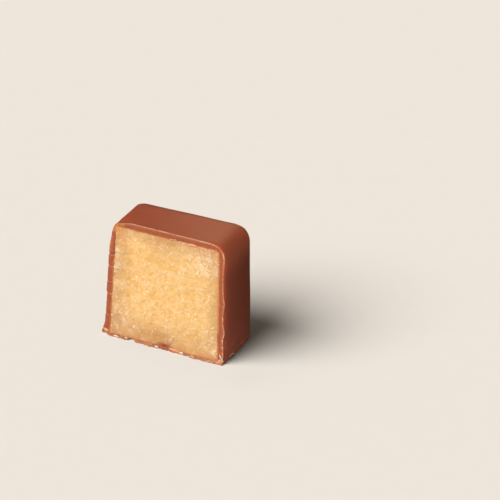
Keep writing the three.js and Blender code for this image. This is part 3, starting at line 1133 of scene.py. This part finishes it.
def add_flake(matrix, length, height, tones, seed):
    ring = bmesh.ops.create_circle(flakes, cap_ends=True, segments=FLAKE["points"], radius=0.5)["verts"]
    for vert in ring:
        vert.co *= flake_noise(vert.co, FLAKE_RIM, seed)
        vert.co.x *= length
        vert.co.y *= height
    face = next(f for f in ring[0].link_faces if all(vert in ring for vert in f.verts))
    made = bmesh.ops.extrude_face_region(flakes, geom=[face])["geom"]
    outer = [item for item in made if isinstance(item, bmesh.types.BMVert)]
    for vert in outer:
        vert.co.x *= FLAKE_TOP["length"]
        vert.co.y *= FLAKE_TOP["height"]
        vert.co.z = FLAKE["thickness"] * flake_noise(vert.co, FLAKE_FACE, seed)
    for vert in ring + outer:
        for name, amount in tones.items():
            vert[flake_layers[name]] = amount
    bmesh.ops.transform(flakes, matrix=matrix, verts=ring + outer)


print("a flake has", 2 * FLAKE["points"], "points")

# %% Placing the flakes
# In both tables the last column is how strong the painted orange glow is.
CUT_FLAKES = [  # x, z, length, height, turn in degrees, how pale and how thin
    (-11.75, 0.9, 0.45, 0.26, -35, 0.9, 0),
    (-11.2, 0.7, 1.3, 0.68, -14, 0.5, 0.35),
    (-8.95, 0.18, 1.15, 0.4, -4, 1.3, 0),
    (-7.2, 0.24, 0.8, 0.36, 4, 1.0, 0.2),
    (-1.15, 0.2, 0.9, 0.4, -6, 1.2, 0.1),
    (2.35, 0.28, 2.6, 0.56, -2, 0.5, 0.6),
    (3.6, 0.22, 0.95, 0.48, -7, 1.3, 0),
    (6.0, 0.2, 0.6, 0.24, 0, 0.7, 0.2),
    (8.7, 0.2, 0.45, 0.2, 6, 0.7, 0.2),
    (9.6, 0.24, 0.4, 0.2, -6, 0.6, 0.2),
    (11.1, 1.2, 1.8, 0.3, -62, 1.2, 0),
    (11.0, 0.55, 1.1, 0.45, -40, 0.45, 0.3),
    (1.7, 21.3, 0.9, 0.22, 4, 0.6, 0.6),
    (3.1, 21.2, 0.8, 0.24, -8, 0.7, 0.6),
    (5.5, 21.2, 2.0, 0.4, -3, 0.6, 0.75),
    (9.4, 21.0, 1.2, 0.4, -22, 0.4, 0.75),
]
SIDE_FLAKES = [  # the same with y for x, on the right side
    (2.9, 0.6, 0.85, 0.4, 25, 0.6, 0.6),
    (3.6, 0.45, 0.6, 0.3, -50, 0.7, 0.5),
    (2.5, 0.4, 0.4, 0.25, -20, 0.5, 0.5),
    (6.3, 1.0, 0.3, 0.2, 0, 0.4, 0),
]
SIDE_FLAKES_FACE = (0.62, -0.45, 0.64)

facing_cut = Matrix.Rotation(math.pi / 2, 4, "X")
facing_side = Vector(SIDE_FLAKES_FACE).to_track_quat("Z", "Y").to_matrix().to_4x4()
for seed, (x, z, length, height, turn, pale, painted_flake_glow) in enumerate(CUT_FLAKES):
    # it lies on the foremost of three places under it
    y = min(cut_depth(mix(x, end, FLAKE["span"]), z) for end in (x - length / 2, x, x + length / 2))
    on_cut = Matrix.Translation((x, y + FLAKE["sunk"], z)) @ facing_cut
    turned_flake = on_cut @ Matrix.Rotation(math.radians(turn), 4, "Z")
    add_flake(turned_flake, length, height, {"pale": pale, "painted_flake_glow": painted_flake_glow}, seed)
for seed, (y, z, length, height, turn, pale, painted_flake_glow) in enumerate(SIDE_FLAKES, len(CUT_FLAKES)):
    on_side = Matrix.Translation((WIDTH / 2, y, z)) @ facing_side
    turned_flake = on_side @ Matrix.Rotation(math.radians(turn), 4, "Z")
    add_flake(turned_flake, length, height, {"pale": pale, "painted_flake_glow": painted_flake_glow}, seed)
bmesh.ops.recalc_face_normals(flakes, faces=flakes.faces)
flake_piece = finish_piece("chocolate_flakes", flakes, [snapped])

# %% [markdown]
# ## Floor
# The half stands on a matt painted board. A plain white plane would do, but a faint tooth in the paint
# keeps it from looking like an empty background. It is a stage object, which means that it isn't part
# of the praline. Glossy rays don't see it, because its mirror image would grey the coat's dark side.

# %% Floor
FLOOR = {"width": 4000, "below": 0.02, "tooth": 3}


def painted_board():
    material, tree = new_material("matt painted board")
    coords = add_node(tree, "ShaderNodeTexCoord", {}, "Object")
    tooth = add_node(tree, "ShaderNodeTexNoise", {
        "Vector": coords, "Scale": per_mm(FLOOR["tooth"]), "Detail": 2,
    })
    colour = add_node(tree, "ShaderNodeMix", {
        "Factor": tooth, "A": linear("#ece5db"), "B": linear("#eee7dd"),
    }, data_type="RGBA")
    paint = add_node(tree, "ShaderNodeBsdfPrincipled", {
        "Base Color": colour, "Roughness": 0.9, "Specular IOR Level": 0.0,
    })
    add_node(tree, "ShaderNodeOutputMaterial", {"Surface": paint})
    return material


def stage_object(name, bm, material, unseen_by):
    """An object that isn't part of the praline, hidden from some kinds of rays."""
    made = new_object(name, bm, [material])
    for kind in unseen_by:
        setattr(made, "visible_" + kind, False)
    return made


board = bmesh.new()
bmesh.ops.create_grid(board, x_segments=1, y_segments=1, size=FLOOR["width"] / 2)
bmesh.ops.translate(board, vec=(0, 0, -FLOOR["below"]), verts=board.verts)
floor = stage_object("floor", board, painted_board(), ["glossy"])
print("floor", FLOOR["width"] * MM, "m wide")

# %% [markdown]
# ## Key light
# One large soft light from the front left would do for most objects. Here it is two suns, because light
# linking lets a lamp shine on chosen objects only: the coat's own key light stands further to the
# right, so the round edge at the top right fades softly into shade, while the marzipan and the shadow
# on the floor keep theirs from the left.

# %% Key lights
KEY = {"from": (-0.38, -0.6, 0.7), "energy": 4.07, "spread": 48, "colour": "#ffffff"}
COAT_KEY = {"from": (-0.12, -0.66, 0.74), "energy": 3.85, "spread": 44, "colour": "#ffffff"}


def add_lamp(name, kind, light, way_from):
    """A lamp that shines against the way that its light comes from."""
    lamp = bpy.data.objects.new(name, bpy.data.lights.new(name, kind))
    lamp.data.energy = light["energy"]
    lamp.data.color = linear(light["colour"])[:3]
    lamp.rotation_mode = "QUATERNION"
    lamp.rotation_quaternion = way_from.to_track_quat("Z", "Y")
    bpy.context.scene.collection.objects.link(lamp)
    return lamp


def soft_sun(name, light):
    lamp = add_lamp(name, "SUN", light, Vector(light["from"]))
    lamp.data.angle = math.radians(light["spread"])
    return lamp


def light_only(lamp, lit_objects):
    """Lets a lamp shine on a few objects and on nothing else."""
    lit = bpy.data.collections.new("lit by " + lamp.name)
    for lit_object in lit_objects:
        lit.objects.link(lit_object)
    lamp.light_linking.receiver_collection = lit


light_only(soft_sun("key_light", KEY), [core_piece, flake_piece, floor])
light_only(soft_sun("coat_key_light", COAT_KEY), [coat_piece])
print("key light from", KEY["from"])

# %% [markdown]
# ## Panels and room
# A narrow, cool panel at the front right shows the rounded front edge of the right side, without a
# highlight of its own. A warm panel behind and above adds only a highlight: the satin sheen along the
# top. The rest of the room is dim and even. The colours are shown as they are, without a film look.

# %% Panels and room
FILL = {
    "place": (26, -5, 9.5), "aim": (11.5, 2, 8.5), "size": (6, 20), "energy": 0.0018, "colour": "#d6e4ff",
}
SHEEN = {
    "place": (-4, 50, 48.5), "aim": (5, 6, 22), "size": (38, 22), "energy": 0.0052, "colour": "#ffe8bc",
}
ROOM = {"strength": 0.105, "colour": "#ffeede"}


def soft_panel(name, light):
    place = Vector(light["place"])
    lamp = add_lamp(name, "AREA", light, place - Vector(light["aim"]))
    lamp.data.shape = "RECTANGLE"
    lamp.data.size, lamp.data.size_y = (side * MM for side in light["size"])
    lamp.location = to_frame @ place
    lamp.visible_camera = False
    return lamp


fill_light = soft_panel("fill_light", FILL)
fill_light.visible_glossy = False
light_only(fill_light, [coat_piece, flake_piece])
sheen_light = soft_panel("sheen_light", SHEEN)
sheen_light.visible_diffuse = False

world = bpy.data.worlds.new("dim room")
world.use_nodes = True
background = world.node_tree.nodes["Background"]
background.inputs["Color"].default_value = linear(ROOM["colour"])
background.inputs["Strength"].default_value = ROOM["strength"]
bpy.context.scene.world = world
bpy.context.scene.view_settings.view_transform = "Standard"
print("room light of strength", ROOM["strength"])

# %% [markdown]
# ## Dark card
# A photographer holds a black card beside a glossy thing to give it a dark side. This one stands at the
# right, out of the camera's sight and without a shadow, so it only keeps the room's light off that side.

# %% Dark card
CARD = {"middle": (WIDTH / 2 + 4.5, 8, 8), "width": 28, "height": 16}


def black_card():
    material, tree = new_material("matt black card")
    paper = add_node(tree, "ShaderNodeBsdfPrincipled", {
        "Base Color": linear("#201814"), "Roughness": 0.95, "Specular IOR Level": 0.0,
    })
    add_node(tree, "ShaderNodeOutputMaterial", {"Surface": paper})
    return material


black = black_card()
facing_right = Matrix.Rotation(math.pi / 2, 4, "Z") @ Matrix.Rotation(math.pi / 2, 4, "X")
sheet = bmesh.new()
bmesh.ops.create_grid(sheet, x_segments=1, y_segments=1, size=0.5)
bmesh.ops.scale(sheet, vec=(CARD["width"], CARD["height"], 1), verts=sheet.verts)
bmesh.ops.transform(sheet, matrix=Matrix.Translation(CARD["middle"]) @ facing_right, verts=sheet.verts)
stage_object("card", sheet, black, ["camera", "shadow"])
print("card", CARD["width"], "by", CARD["height"], "mm")

# %% [markdown]
# ## Contact shadow
# Light that bounces off the red coat and the yellow core would tint the pale floor round them more than
# a real studio shows. So both are hidden from bounced light, and a smaller black block inside them,
# which only bounced light meets, keeps the soft neutral shade under the foot.

# %% Block for the contact shadow
BLOCK = {"inset": 0.5, "inset_right": 4.0, "inset_back": 2.2, "foot": 0.05, "top": 7.0}

block = bmesh.new()
bmesh.ops.create_cube(block, size=1)
for vert in block.verts:
    z = mix(BLOCK["foot"], BLOCK["top"], vert.co.z + 0.5)
    section = section_at(z)
    x = mix(section["left"] + BLOCK["inset"], section["right"] - BLOCK["inset_right"], vert.co.x + 0.5)
    y = mix(BLOCK["inset"], section["back"] - BLOCK["inset_back"], vert.co.y + 0.5)
    vert.co = Vector((x, y, z))
stage_object("shade_block", block, black, ["camera", "glossy", "shadow"])
for piece in (coat_piece, core_piece):
    piece.visible_diffuse = False
print("block", BLOCK["top"], "mm high")

# %% [markdown]
# ## Camera
# The camera stands where the photograph was taken from, a long way off with a long lens, so upright
# edges stay nearly upright. A Track To constraint would keep it level, but the photographer's camera
# was rolled a little, so it is turned by its own angles.

# %% Camera
CAMERA = {"place": (156.19, -286.42, 187.16), "lens": 158.4, "nearest": 10}  # in mm
CAMERA_AZIMUTH = math.radians(26.07)
CAMERA_ELEVATION = math.radians(27.25)
CAMERA_ROLL = math.radians(1.276)

looking = Vector((
    -math.sin(CAMERA_AZIMUTH) * math.cos(CAMERA_ELEVATION),
    math.cos(CAMERA_AZIMUTH) * math.cos(CAMERA_ELEVATION),
    -math.sin(CAMERA_ELEVATION),
))
camera = bpy.data.objects.new("camera", bpy.data.cameras.new("camera"))
camera.data.lens = CAMERA["lens"]
camera.data.clip_start = CAMERA["nearest"] * MM
camera.location = to_frame @ Vector(CAMERA["place"])
camera.rotation_mode = "QUATERNION"
camera.rotation_quaternion = looking.to_track_quat("-Z", "Y") @ Quaternion((0, 0, 1), CAMERA_ROLL)
bpy.context.scene.collection.objects.link(camera)
bpy.context.scene.camera = camera
print("camera at", [round(c, 3) for c in camera.location])
